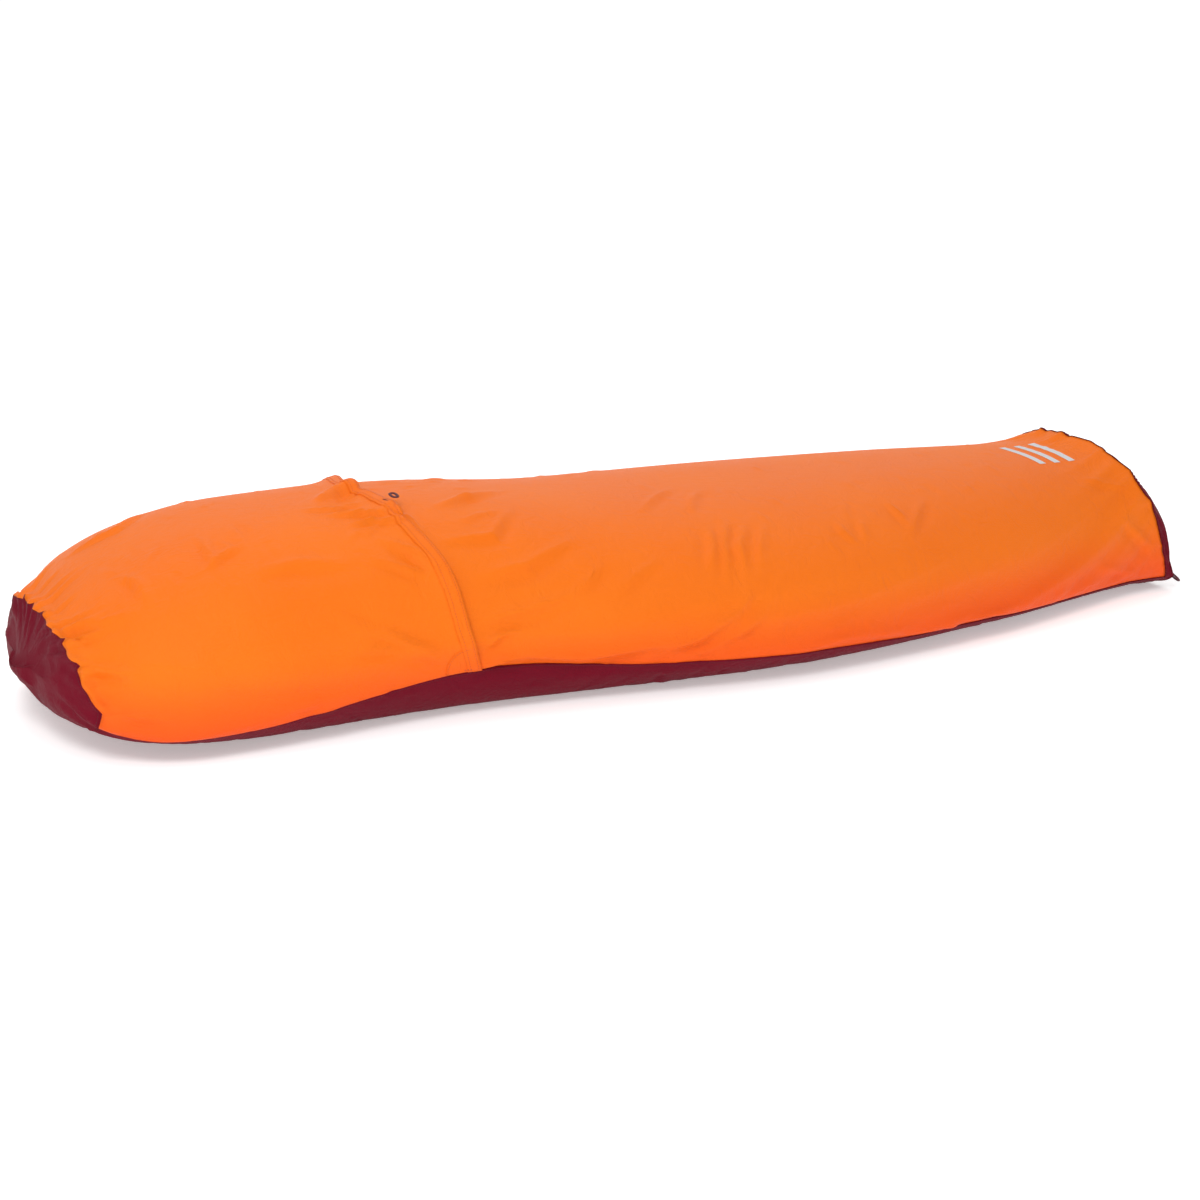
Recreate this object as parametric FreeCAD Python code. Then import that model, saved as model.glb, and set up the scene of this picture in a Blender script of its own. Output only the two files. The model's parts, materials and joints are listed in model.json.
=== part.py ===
import FreeCAD, Part
import math
import os

os.makedirs("parts", exist_ok=True)

Vector = FreeCAD.Vector

# Overall sizes, mm. The sack lies on the ground: head at -X, foot at +X, +Z up.
LENGTH = 2040
HEAD_WIDTH = 586
HEM_WIDTH = 566
SHOULDER_WIDTH = 720
KNEE_WIDTH = 622
FOOT_WIDTH = 436
HEAD_HEIGHT = 302
HOOD_HEIGHT = 320
WAIST_HEIGHT = 288
KNEE_HEIGHT = 268
FOOT_HEIGHT = 258

HEAD_END = -LENGTH / 2
FOOT_END = LENGTH / 2

# Places along the length, measured from the head end or from the foot end.
CAP_AT = HEAD_END + 60
HEAD_WIDEST_AT = HEAD_END + 238
HOOD_HIGHEST_AT = HEAD_END + 380
HEM_AT = HEAD_END + 612
WAIST_AT = HEAD_END + 925
SHOULDER_WIDEST_AT = HEAD_END + 1163
KNEE_AT = FOOT_END - 450
FOOT_HIGHEST_AT = FOOT_END - 105

# How the two ends round off.
HEAD_ROUND = 190
NOSE_SHARE = 0.21
HEAD_DOME = 340
DOME_SHARE = 0.4
NOSE_LIFT = 79
FOOT_ROUND = 86
FOOT_SHARE = 0.62
CAP_DEPTH = 110
FOOT_DEPTH = 130

# Shape of a section: a full upper curve, square lower corners, and a flattened underside.
UPPER_POWER = 0.8
LOWER_POWER = 0.55
WIDEST_SHARE = 0.3
BELLY = 1.2
BELLY_FADE = 200

# Cloth and seams.
WALL = 2.5
LAYER_GAP = 0.5
LAP = 12
TAPE_WIDTH = 22
TAPE_THICKNESS = 0.8
TRIM_GAP = 0.5
SEAM_GAP = 0.6
LEAST_STRIP_RISE = 8
THREAD = 1.2
SEAM_ROW = 4

# Side seam, as heights above the ground.
SEAM_AT_NOSE = 110
SEAM_AT_CAP = 52
SEAM_AT_HEAD = 40
SEAM_AT_HEM = 80
SEAM_AT_WAIST = 56
SEAM_AT_FOOT = 26

# Slanted seams and edges, each a line in x and z.
CAP_LINE = ((HEAD_END + 68, 0), (HEAD_END + 22, 190))
HEM_LINE = ((HEM_AT + 28, 0), (HEM_AT - 57, HOOD_HEIGHT))
FOOT_LINE = ((FOOT_END - 6, 0), (FOOT_END - 82, 250))

# Hood flap, its hem, and the tucked end of the body panel under it.
FLAP_REACH = 240
FLAP_CORNER_HEIGHT = 125
HEM_BAND = 22
HEM_THICKNESS = 1.0
HEM_ROWS = (4, 16)
TUCK = 210
CHEST_FLAP_WIDTH = 380
CHEST_HINGE_BACK = 34
CUT_GAP = 0.6

# Reinforced hem corners.
PATCH_RADIUS = 55
TACK = (14, 3)
TACK_THICKNESS = 0.8

# Hang loop on the hem, and the two cord loops on the foot corners.
HANG_LOOP = (24, 13)
HANG_LOOP_STRIP = 3
HANG_LOOP_THICKNESS = 1.5
HANG_LOOP_ACROSS = -92
FOOT_LOOP = (18, 30)
FOOT_LOOP_CORD = 4
FOOT_LOOP_INSET = 20
FOOT_LOOP_HEIGHT = 28
FOOT_LOOP_DROOP = 40
FOOT_TAB = (18, 3, 12)
LOOP_CLEARANCE = 0.5

# Printed mark of plain bars near the foot.
MARK_AT = FOOT_END - 178
MARK_ACROSS = -35
MARK_BAR = (14, 120)
MARK_PITCH = 40
MARK_COUNT = 3
MARK_THICKNESS = 0.3

REACH = 1000
SECTION_STEP = 0.045
BAND_STEPS = 40

WIDTHS = (
    (HEAD_WIDEST_AT, HEAD_WIDTH / 2),
    (HEM_AT, HEM_WIDTH / 2),
    (SHOULDER_WIDEST_AT, SHOULDER_WIDTH / 2),
    (KNEE_AT, KNEE_WIDTH / 2),
    (FOOT_END, FOOT_WIDTH / 2),
)
HEIGHTS = (
    (HEAD_END, HEAD_HEIGHT),
    (HOOD_HIGHEST_AT, HOOD_HEIGHT),
    (HEM_AT, HOOD_HEIGHT),
    (WAIST_AT, WAIST_HEIGHT),
    (KNEE_AT, KNEE_HEIGHT),
    (FOOT_HIGHEST_AT, FOOT_HEIGHT),
)
SEAM = (
    (HEAD_END, SEAM_AT_NOSE),
    (CAP_AT, SEAM_AT_CAP),
    (HEAD_WIDEST_AT, SEAM_AT_HEAD),
    (HEM_AT, SEAM_AT_HEM),
    (WAIST_AT, SEAM_AT_WAIST),
    (FOOT_END, SEAM_AT_FOOT),
)


def along(stations, x):
    """Value at x on a smooth curve through (x, value) stations, held level past both ends."""
    last = len(stations) - 1
    slopes = [0.0] * (last + 1)
    for i in range(1, last):
        (x0, v0), (x1, v1) = stations[i - 1], stations[i + 1]
        slopes[i] = (v1 - v0) / (x1 - x0)
    if x <= stations[0][0]:
        return stations[0][1]
    if x >= stations[last][0]:
        return stations[last][1]
    i = max(k for k in range(last) if stations[k][0] <= x)
    (x0, v0), (x1, v1) = stations[i], stations[i + 1]
    step = x1 - x0
    t = (x - x0) / step
    rise = 3 * t**2 - 2 * t**3
    start = (t**3 - 2 * t**2 + t) * step * slopes[i]
    end = (t**3 - t**2) * step * slopes[i + 1]
    return v0 + (v1 - v0) * rise + start + end


def rounded(distance, length, least):
    """Share of full size at a distance from an end that rounds off over a length."""
    u = min(max(distance / length, 0), 1)
    return least + (1 - least) * math.sqrt(1 - (1 - u) ** 2)


def half_width(x, inset):
    head = rounded(x - HEAD_END - inset, HEAD_ROUND, NOSE_SHARE)
    return (along(WIDTHS, x) - inset) * head


def levels(x, inset):
    """Heights of the underside, the widest line and the top of the section at x."""
    head = x - HEAD_END - inset
    foot = FOOT_END - inset - x
    dome = rounded(head, HEAD_DOME, DOME_SHARE) * rounded(foot, FOOT_ROUND, FOOT_SHARE)
    top = (along(HEIGHTS, x) - inset) * dome
    belly = BELLY * min(1, (foot - FOOT_DEPTH) / BELLY_FADE)
    underside = NOSE_LIFT * (1 - rounded(head, HEAD_DOME, 0)) - belly + inset
    widest = underside + WIDEST_SHARE * (top - underside)
    return underside, widest, top


def surface_height(x, across, inset):
    """Height of the upper surface at x, at a distance across from the middle."""
    underside, widest, top = levels(x, inset)
    share = abs(across) / half_width(x, inset)
    return widest + (top - widest) * (1 - share ** (2 / UPPER_POWER)) ** (UPPER_POWER / 2)


def angle_at(x, z, inset):
    """Angle round the section where its right side is z high; below zero under the widest line."""
    underside, widest, top = levels(x, inset)
    if z >= widest:
        return math.asin(min(1, (z - widest) / (top - widest)) ** (1 / UPPER_POWER))
    return -math.asin(min(1, (widest - z) / (widest - underside)) ** (1 / LOWER_POWER))


def point(x, angle, inset):
    """Point of the section at x: angle 0 is the right widest line, a half turn the left one."""
    underside, widest, top = levels(x, inset)
    c, s = math.cos(angle), math.sin(angle)
    power, rise = (UPPER_POWER, top - widest) if s >= 0 else (LOWER_POWER, widest - underside)
    y = -half_width(x, inset) * math.copysign(abs(c) ** power, c)
    return Vector(x, y, widest + rise * math.copysign(abs(s) ** power, s))


def places(start, end):
    """Section places from start to end, closer together towards the ends of the sack."""
    first, last = [math.acos(max(-1, min(1, -2 * x / LENGTH))) for x in (start, end)]
    count = max(6, math.ceil((last - first) / SECTION_STEP))
    turns = [first + (last - first) * k / count for k in range(count + 1)]
    return [start] + [-LENGTH / 2 * math.cos(turn) for turn in turns[1:-1]] + [end]


def over(height):
    """Span of angles over the top, between both sides at a height given along the length."""

    def span(x, inset):
        low = angle_at(x, height(x), inset)
        return low, math.pi - low

    return span


def under(height):
    """Span of angles round the underside, between both sides at a height given along the length."""

    def span(x, inset):
        low = angle_at(x, height(x), inset)
        return low, -math.pi - low

    return span


def sharpened(points):
    """Control points moved outwards on bends, so that a cubic drawn by them passes the given points."""
    inner = [
        here - (before - here * 2 + after) * (1 / 6)
        for before, here, after in zip(points, points[1:], points[2:])
    ]
    return [points[0]] + inner + [points[-1]]


def smooth_surface(points):
    """Cubic surface through a grid of points, within a small part of their spacing."""
    columns = [sharpened(column) for column in zip(*[sharpened(row) for row in points])]
    grid = [list(row) for row in zip(*columns)]
    surface = Part.BSplineSurface()
    knots = []
    for count in (len(grid), len(grid[0])):
        spans = count - 3
        knots.append((list(range(spans + 1)), [4] + [1] * (spans - 1) + [4]))
    (u_knots, u_mults), (v_knots, v_mults) = knots
    surface.buildFromPolesMultsKnots(grid, u_mults, v_mults, u_knots, v_knots, False, False, 3, 3)
    return surface


def skin(start, end, span, inset):
    """Smooth surface at one inset, from start to end along X and over a span of angles."""
    grid = []
    for x in places(start, end):
        first, last = span(x, inset)
        steps = [first + (last - first) * k / BAND_STEPS for k in range(BAND_STEPS + 1)]
        grid.append([point(x, angle, inset) for angle in steps])
    return smooth_surface(grid)


def end_edge(surface, share):
    """Edge of a surface at its start (share 0) or its end (share 1) along X."""
    u0, u1, v0, v1 = surface.bounds()
    return surface.uIso(u0 + (u1 - u0) * share).toShape()


def side_edge(surface, share):
    """Edge of a surface where its span of angles starts (share 0) or ends (share 1)."""
    u0, u1, v0, v1 = surface.bounds()
    return surface.vIso(v0 + (v1 - v0) * share).toShape()


def sewn(faces):
    """Solid closed by faces that meet at their edges."""
    shell = Part.Shell(faces)
    shell.sewShape()
    solid = Part.Solid(shell)
    solid.fix(0.001, 0.001, 0.001)
    return solid if solid.Volume > 0 else solid.reversed()


def band(outer, inner, start, end, span):
    """Curved sheet of cloth between two insets, from start to end along X and over a span of angles."""
    skins = [skin(start, end, span, inset) for inset in (outer, inner)]
    faces = [surface.toShape() for surface in skins]
    for share in (0, 1):
        faces.append(Part.makeRuledSurface(*[end_edge(surface, share) for surface in skins]))
        faces.append(Part.makeRuledSurface(*[side_edge(surface, share) for surface in skins]))
    return sewn(faces)


def end_shell(outer, inner, end, depth):
    """Hollow cap of cloth between two insets, closing the head (end=-1) or the foot (end=1)."""
    at_tip = 0 if end < 0 else 1
    faces = []
    mouths = []
    for inset in (outer, inner):
        reach = sorted([end * (LENGTH / 2 - inset), end * (LENGTH / 2 - depth)])
        halves = [skin(*reach, lambda x, inset: (0, math.pi), inset)]
        halves.append(skin(*reach, lambda x, inset: (math.pi, 2 * math.pi), inset))
        faces += [surface.toShape() for surface in halves]
        faces.append(Part.Face(Part.Wire([end_edge(surface, at_tip) for surface in halves])))
        mouths.append([end_edge(surface, 1 - at_tip) for surface in halves])
    faces += [Part.makeRuledSurface(*edges) for edges in zip(*mouths)]
    return sewn(faces)


def block(outline, low=-REACH, high=REACH):
    """Straight block: an outline in x and z, swept across from y = low to y = high."""
    wire = Part.makePolygon([Vector(x, low, z) for x, z in outline + outline[:1]])
    return Part.Face(wire).extrude(Vector(0, high - low, 0))


def line_x(line, z):
    """x on a slanted line at height z."""
    (x0, z0), (x1, z1) = line
    return x0 + (x1 - x0) * (z - z0) / (z1 - z0)


def slab(first, start, last, end):
    """Block from one slanted line, shifted by start along X, to another shifted by end."""
    low, high = -REACH / 2, REACH
    corners = [(line_x(first, low) + start, low), (line_x(last, low) + end, low)]
    corners += [(line_x(last, high) + end, high), (line_x(first, high) + start, high)]
    return block(corners)


def seam(lift=0):
    """Height of the side seam along the length, moved up by lift."""
    return lambda x: along(SEAM, x) + lift


def cut(shape, *regions):
    """The part of a shape that lies in all the regions."""
    for region in regions:
        shape = shape.common(region)
    return shape


def side(sign):
    """Half space on one side: +1 is the occupant's left, -1 the right."""
    box = Part.makeBox(4 * REACH, REACH, 3 * REACH, Vector(-2 * REACH, 0, -REACH))
    return box if sign > 0 else box.mirror(Vector(0, 0, 0), Vector(0, 1, 0))


def ring(width, length, strip, thickness):
    """Flat loop with round front corners: its back bar lies on the Y axis, its tip points along +X."""

    def plate(margin, height):
        wide, long = width - 2 * margin, length - 2 * margin
        back = margin - strip / 2
        box = Part.makeBox(long, wide, height, Vector(back, -wide / 2, -height / 2))
        tip = back + long
        upright = [edge for edge in box.Edges if abs(edge.BoundBox.ZLength - height) < 0.01]
        front = [edge for edge in upright if edge.BoundBox.XMin > tip - 0.01]
        return box.makeFillet(min(wide * 0.4, long * 0.6), front)

    return plate(0, thickness).cut(plate(strip, 3 * thickness))


def keep(name, shape):
    """Write one node; several solids in one node stay separate."""
    solids = shape.Solids
    if not solids:
        raise ValueError(name + " has no solid")
    whole = solids[0] if len(solids) == 1 else Part.makeCompound(solids)
    whole.exportStep("parts/" + name + ".step")
    print(f"{name:28s} {len(solids)} {whole.Volume:12.1f} {whole.isValid()}")


# Layers of cloth, each an outer and an inner inset.
OUTER = (0, WALL)
TUCKED = (WALL + LAYER_GAP, 2 * WALL + LAYER_GAP)
HEM_ON = (-TRIM_GAP - HEM_THICKNESS, -TRIM_GAP)
ON_HEM = (HEM_ON[0] - TRIM_GAP - TACK_THICKNESS, HEM_ON[0] - TRIM_GAP)
ON_OUTER = (-TRIM_GAP - TACK_THICKNESS, -TRIM_GAP)
UNDER_OUTER = (OUTER[1] + TRIM_GAP, OUTER[1] + TRIM_GAP + TAPE_THICKNESS)
UNDER_TUCKED = (TUCKED[1] + TRIM_GAP, TUCKED[1] + TRIM_GAP + TAPE_THICKNESS)

# How far the bands run past the slanted lines that trim them.
hood_start, hood_end = HEAD_END + 10, HEM_AT + 60
main_end = FOOT_END - 3
tucked_end = main_end - TUCKED[1] - 2

main_length = slab(CAP_LINE, 0, FOOT_LINE, 0)
hood_length = slab(CAP_LINE, 0, HEM_LINE, 0)
sides = (("left", side(1)), ("right", side(-1)))

# Coated floor with low sides, flat on the ground, and the two end panels that close it.
ground = Part.makeBox(4 * REACH, 2 * REACH, REACH, Vector(-2 * REACH, -REACH, -REACH))
floor = cut(band(*OUTER, HEAD_END + 8, main_end, under(seam())), main_length).cut(ground)
keep("floor_panel", floor)
keep("head_end_panel", cut(end_shell(*OUTER, -1, CAP_DEPTH), slab(CAP_LINE, -REACH, CAP_LINE, 0)))
keep("foot_end_panel", cut(end_shell(*OUTER, 1, FOOT_DEPTH), slab(FOOT_LINE, 0, FOOT_LINE, REACH)))

# The hood's free part folds up about a slanted line from the crest to the hem corners.
fold_x = line_x(HEM_LINE, HOOD_HEIGHT) - FLAP_REACH
fold_z = levels(fold_x, 0)[2] + LAYER_GAP
fold_corner_x = line_x(HEM_LINE, FLAP_CORNER_HEIGHT)
fold_slope = (FLAP_CORNER_HEIGHT - fold_z) / (fold_corner_x - fold_x)


def fold_side(shift, far):
    """Block from the fold, moved up by shift, to a far height."""
    left, right = -2 * REACH, 2 * REACH
    start, end = [fold_z + fold_slope * (x - fold_x) + shift for x in (left, right)]
    return block([(left, start), (right, end), (right, far), (left, far)])


above_fold = fold_side(CUT_GAP / 2, 4 * REACH)
below_fold = fold_side(-CUT_GAP / 2, -4 * REACH)
hood = cut(band(*OUTER, hood_start, hood_end, over(seam(SEAM_GAP))), hood_length)
keep("hood_panel", hood.common(below_fold))
keep("hood_flap_panel", hood.common(above_fold))

# Hem band along the free edge, its rows of thread, and the reinforced corners.
near_hem = (line_x(HEM_LINE, HOOD_HEIGHT) - 2 * PATCH_RADIUS, hood_end)
hem_slab = slab(HEM_LINE, -HEM_BAND, HEM_LINE, 0)
hem_skin = band(*HEM_ON, *near_hem, over(seam(SEAM_GAP)))
thread_skin = band(*ON_HEM, *near_hem, over(seam(SEAM_GAP)))
hem = hem_skin.common(hem_slab)
rows = [thread_skin.common(slab(HEM_LINE, -d - THREAD, HEM_LINE, -d)) for d in HEM_ROWS]
hem_rows = Part.makeCompound(rows)
keep("hood_hem", hem.common(above_fold))
keep("hood_hem_stitching", hem_rows.common(above_fold))
hem_foot_z = along(SEAM, HEM_AT)
hem_foot_x = line_x(HEM_LINE, hem_foot_z)
patch_disc = Part.makeCylinder(
    PATCH_RADIUS, 2 * REACH, Vector(hem_foot_x, -REACH, hem_foot_z), Vector(0, 1, 0)
)
patches = cut(hem_skin, patch_disc, slab(CAP_LINE, 0, HEM_LINE, -HEM_BAND))
tack_x = hem_foot_x - HEM_BAND - PATCH_RADIUS / 2
tack_z = hem_foot_z + TACK[0] / 2
tack_block = block([(tack_x, tack_z), (tack_x + TACK[0], tack_z),
                    (tack_x + TACK[0], tack_z + TACK[1]), (tack_x, tack_z + TACK[1])])
for name, half in sides:
    keep("hem_end_" + name, cut(hem, below_fold, half))
    keep("hem_end_stitching_" + name, cut(hem_rows, below_fold, half))
    keep("corner_patch_" + name, patches.common(half))
    keep("corner_bartack_" + name, cut(thread_skin, tack_block, half))

# Body panel, tucked under the hood; the middle of its tucked end folds down.
TUCK_LINE = tuple((x - TUCK, z) for x, z in HEM_LINE)
hinge_x = line_x(HEM_LINE, HOOD_HEIGHT) - CHEST_HINGE_BACK
half_flap = CHEST_FLAP_WIDTH / 2
flap_floor = WAIST_HEIGHT / 2


def flap_block(gap):
    """Block over the middle of the tucked end, larger by gap in front and at its sides."""
    far = -2 * REACH
    outline = [(far, flap_floor), (hinge_x + gap, flap_floor), (hinge_x + gap, REACH), (far, REACH)]
    return block(outline, -half_flap - gap, half_flap + gap)


tuck_start = line_x(TUCK_LINE, HOOD_HEIGHT) - TAPE_WIDTH
body = band(*TUCKED, tuck_start, tucked_end, over(seam(-LAP)))
body = cut(body, slab(TUCK_LINE, 0, FOOT_LINE, LAP))
chest_flap = flap_block(0)
keep("body_top_panel", body.cut(flap_block(CUT_GAP)))
keep("chest_flap_panel", body.common(chest_flap))
under_hem = (TUCKED[1] + TRIM_GAP, TUCKED[1] + TRIM_GAP + HEM_THICKNESS)
under_rows = (under_hem[1] + TRIM_GAP, under_hem[1] + TRIM_GAP + TACK_THICKNESS)
tuck_hem = band(*under_hem, tuck_start, hood_end, over(seam()))
keep("chest_flap_hem", cut(tuck_hem, slab(TUCK_LINE, 0, TUCK_LINE, HEM_BAND), chest_flap))
tuck_thread = band(*under_rows, tuck_start, hood_end, over(seam()))
rows = [cut(tuck_thread, slab(TUCK_LINE, d, TUCK_LINE, d + THREAD), chest_flap) for d in HEM_ROWS]
keep("chest_flap_stitching", Part.makeCompound(rows))

# Inner seam tapes, over the laps of the body panel and along the hood's own seams.
half_tape = TAPE_WIDTH / 2


def side_strip(insets, start, end, low, high):
    """Strip of cloth on the right side, between two heights over the side seam."""

    def span(x, inset):
        least = levels(x, inset)[0] + LEAST_STRIP_RISE
        return [angle_at(x, max(seam(lift)(x), least), inset) for lift in (low, high)]

    return band(*insets, start, end, span)


def both_sides(name, strip, *regions):
    """Keep a right-side strip and its mirror image as the left and right nodes."""
    right = cut(strip, *regions)
    keep(name + "_right", right)
    keep(name + "_left", right.mirror(Vector(0, 0, 0), Vector(0, 1, 0)))


lap_tape = side_strip(UNDER_TUCKED, tuck_start, tucked_end, -half_tape - LAP, half_tape - LAP)
both_sides("side_seam_tape", lap_tape, slab(TUCK_LINE, HEM_BAND, FOOT_LINE, -half_tape))
foot_tape = end_shell(*UNDER_TUCKED, 1, FOOT_DEPTH)
keep("foot_seam_tape", foot_tape.common(slab(FOOT_LINE, -half_tape, FOOT_LINE, half_tape)))
cap_tape = end_shell(*UNDER_OUTER, -1, CAP_DEPTH)
keep("head_seam_tape", cap_tape.common(slab(CAP_LINE, -half_tape, CAP_LINE, half_tape)))
hood_tape = side_strip(UNDER_OUTER, hood_start, hood_end, -half_tape, half_tape)
both_sides("hood_seam_tape", hood_tape, slab(CAP_LINE, half_tape, TUCK_LINE, -LAP))

# Outer rows of thread along the seams.
head_row = band(*ON_OUTER, HEAD_END + 4, HEAD_END + CAP_DEPTH, over(seam()))
foot_row = band(*ON_OUTER, FOOT_END - FOOT_DEPTH, FOOT_END - 1, over(seam()))
keep("head_seam_stitching", head_row.common(slab(CAP_LINE, -SEAM_ROW - THREAD, CAP_LINE, -SEAM_ROW)))
keep("foot_seam_stitching", foot_row.common(slab(FOOT_LINE, SEAM_ROW, FOOT_LINE, SEAM_ROW + THREAD)))
side_row = side_strip(ON_OUTER, HEAD_END + 8, main_end, -SEAM_ROW - THREAD, -SEAM_ROW)
both_sides("side_seam_stitching", side_row, main_length)

# Printed bars near the foot.
bar_length, bar_width = MARK_BAR
mark_layer = (TUCKED[0] - TRIM_GAP - MARK_THICKNESS, TUCKED[0] - TRIM_GAP)
mark_skin = band(*mark_layer, MARK_AT - bar_width, MARK_AT + bar_width, over(seam()))
bars = []
for k in range(MARK_COUNT):
    x = MARK_AT + (k - (MARK_COUNT - 1) / 2) * MARK_PITCH - bar_length / 2
    y = MARK_ACROSS - bar_width / 2
    bar = Part.makeBox(bar_length, bar_width, REACH, Vector(x, y, flap_floor))
    bars.append(mark_skin.common(bar))
keep("print_mark", Part.makeCompound(bars))

# Hang loop, lying forward of the hem on the body panel, with its bartack on the hem.
loop_x = line_x(HEM_LINE, surface_height(HEM_AT, HANG_LOOP_ACROSS, 0))
edge_drop = surface_height(loop_x, HANG_LOOP_ACROSS + 1, 0) - surface_height(loop_x, HANG_LOOP_ACROSS - 1, 0)
tilt = math.degrees(math.atan(edge_drop / 2))
hang_axis = Vector(
    loop_x + HANG_LOOP_STRIP / 2 + 1.6 * LOOP_CLEARANCE,
    HANG_LOOP_ACROSS,
    surface_height(loop_x, HANG_LOOP_ACROSS, TUCKED[0]) + HANG_LOOP_STRIP / 2 + 2 * LOOP_CLEARANCE,
)
hang_loop = ring(*HANG_LOOP, HANG_LOOP_STRIP, HANG_LOOP_THICKNESS)
hang_loop.rotate(Vector(0, 0, 0), Vector(1, 0, 0), tilt)
hang_loop.translate(hang_axis)
keep("hang_loop", hang_loop)
tack_corner = Vector(loop_x - 3.5 * HANG_LOOP_STRIP, HANG_LOOP_ACROSS - HANG_LOOP[0] / 2, flap_floor)
tack_box = Part.makeBox(HANG_LOOP_STRIP, HANG_LOOP[0], REACH, tack_corner)
keep("hang_loop_bartack", thread_skin.common(tack_box))

# Cord loops drooping from sewn tabs on the two foot corners.
tab_width, tab_depth, tab_height = FOOT_TAB
loop_ahead = FOOT_END + tab_depth + LOOP_CLEARANCE + FOOT_LOOP_CORD * 0.6
for name, sign in (("left", 1), ("right", -1)):
    y = sign * (half_width(FOOT_END, 0) - FOOT_LOOP_INSET)
    corner = Vector(FOOT_END, y - tab_width / 2, FOOT_LOOP_HEIGHT - tab_height / 2)
    keep("foot_loop_tab_" + name, Part.makeBox(tab_depth, tab_width, tab_height, corner))
    cord = ring(*FOOT_LOOP, FOOT_LOOP_CORD, FOOT_LOOP_CORD)
    cord = cord.makeFillet(FOOT_LOOP_CORD * 0.3, cord.Edges)
    cord.rotate(Vector(0, 0, 0), Vector(0, 1, 0), FOOT_LOOP_DROOP)
    cord.translate(Vector(loop_ahead, y, FOOT_LOOP_HEIGHT))
    keep("foot_loop_" + name, cord)

print("hood hinge", round(fold_x, 2), round(fold_z, 2))
print("chest hinge", round(hinge_x, 2), round(surface_height(hinge_x, half_flap, TUCKED[1]), 2))
print("hang loop axis", hang_axis, "tilt", round(tilt, 3))
print("foot loop axis", round(loop_ahead, 2), FOOT_LOOP_HEIGHT)
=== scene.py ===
import json
import math
import random

import bpy
import numpy as np
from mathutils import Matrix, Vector


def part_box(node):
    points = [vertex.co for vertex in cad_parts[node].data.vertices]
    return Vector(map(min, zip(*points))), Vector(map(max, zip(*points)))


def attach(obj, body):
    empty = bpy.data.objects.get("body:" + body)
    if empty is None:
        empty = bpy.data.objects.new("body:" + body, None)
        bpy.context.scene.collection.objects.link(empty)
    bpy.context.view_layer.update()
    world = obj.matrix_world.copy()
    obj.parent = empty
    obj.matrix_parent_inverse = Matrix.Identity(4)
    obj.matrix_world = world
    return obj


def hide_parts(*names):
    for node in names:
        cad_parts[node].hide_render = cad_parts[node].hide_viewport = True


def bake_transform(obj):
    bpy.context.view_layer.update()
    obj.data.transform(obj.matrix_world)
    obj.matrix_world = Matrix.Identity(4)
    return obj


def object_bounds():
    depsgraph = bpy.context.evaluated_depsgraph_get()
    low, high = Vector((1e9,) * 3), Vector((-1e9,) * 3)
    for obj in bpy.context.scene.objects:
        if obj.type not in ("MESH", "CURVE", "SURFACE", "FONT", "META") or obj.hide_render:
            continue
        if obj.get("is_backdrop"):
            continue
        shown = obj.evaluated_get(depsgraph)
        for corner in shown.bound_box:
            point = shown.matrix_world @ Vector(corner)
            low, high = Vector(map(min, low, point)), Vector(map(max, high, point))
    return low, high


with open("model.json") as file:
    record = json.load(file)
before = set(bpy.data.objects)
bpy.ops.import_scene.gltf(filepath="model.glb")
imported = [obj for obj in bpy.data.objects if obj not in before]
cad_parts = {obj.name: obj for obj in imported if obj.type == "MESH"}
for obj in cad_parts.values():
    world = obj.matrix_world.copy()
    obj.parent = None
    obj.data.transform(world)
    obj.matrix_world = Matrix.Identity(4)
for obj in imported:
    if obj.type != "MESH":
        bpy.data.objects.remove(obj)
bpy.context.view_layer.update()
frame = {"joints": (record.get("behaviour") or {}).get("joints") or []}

# Overall sizes, metres. The sack lies on the ground: head at -X, foot at +X, +Z up.
LENGTH = 2.040
HEAD_END = -LENGTH / 2
FOOT_END = LENGTH / 2
HEM_AT = HEAD_END + 0.612
HOOD_HEIGHT = 0.320

# Half widths, heights and side seam heights, each at a place along the length.
WIDTHS = (
    (HEAD_END + 0.238, 0.293),
    (HEM_AT, 0.283),
    (HEAD_END + 1.163, 0.360),
    (FOOT_END - 0.450, 0.311),
    (FOOT_END, 0.218),
)
HEIGHTS = (
    (HEAD_END, 0.302),
    (HEAD_END + 0.380, HOOD_HEIGHT),
    (HEM_AT, HOOD_HEIGHT),
    (HEAD_END + 0.925, 0.288),
    (FOOT_END - 0.450, 0.268),
    (FOOT_END - 0.105, 0.258),
)
SEAM = (
    (HEAD_END, 0.110),
    (HEAD_END + 0.060, 0.052),
    (HEAD_END + 0.238, 0.040),
    (HEM_AT, 0.080),
    (HEAD_END + 0.925, 0.056),
    (FOOT_END, 0.026),
)

# How the two ends round off, and the shape of a section.
HEAD_ROUND, NOSE_SHARE = 0.190, 0.21
HEAD_DOME, DOME_SHARE, NOSE_LIFT = 0.340, 0.4, 0.079
FOOT_ROUND, FOOT_SHARE = 0.086, 0.62
UPPER_POWER, LOWER_POWER, WIDEST_SHARE = 0.8, 0.55, 0.3

# Slanted seams: where each meets the ground, and how far it leans per metre of height.
CAP_SEAM = (HEAD_END + 0.068, -0.242)
HEM_EDGE = (HEM_AT + 0.028, -0.266)
FOOT_SEAM = (FOOT_END - 0.006, -0.304)

# Layers and trims.
CLOTH = 0.0010
HEM_BAND = 0.022
HEM_ROWS = (0.004, 0.016)
HEM_LIFT = (0.0035, 0.0050)
TUCK = 0.210
LAP = 0.012
TUCK_DEPTH = 0.0032
SEAM_DEPTH = 0.0016
PATCH_RADIUS = 0.055
TAPE, TAPE_WIDTH, SIDE_TAPE_SHARE = 0.0004, 0.022, 0.75
STITCH = (0.0030, 0.0010, 0.0007)
STITCH_PITCH = 0.0044

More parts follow.
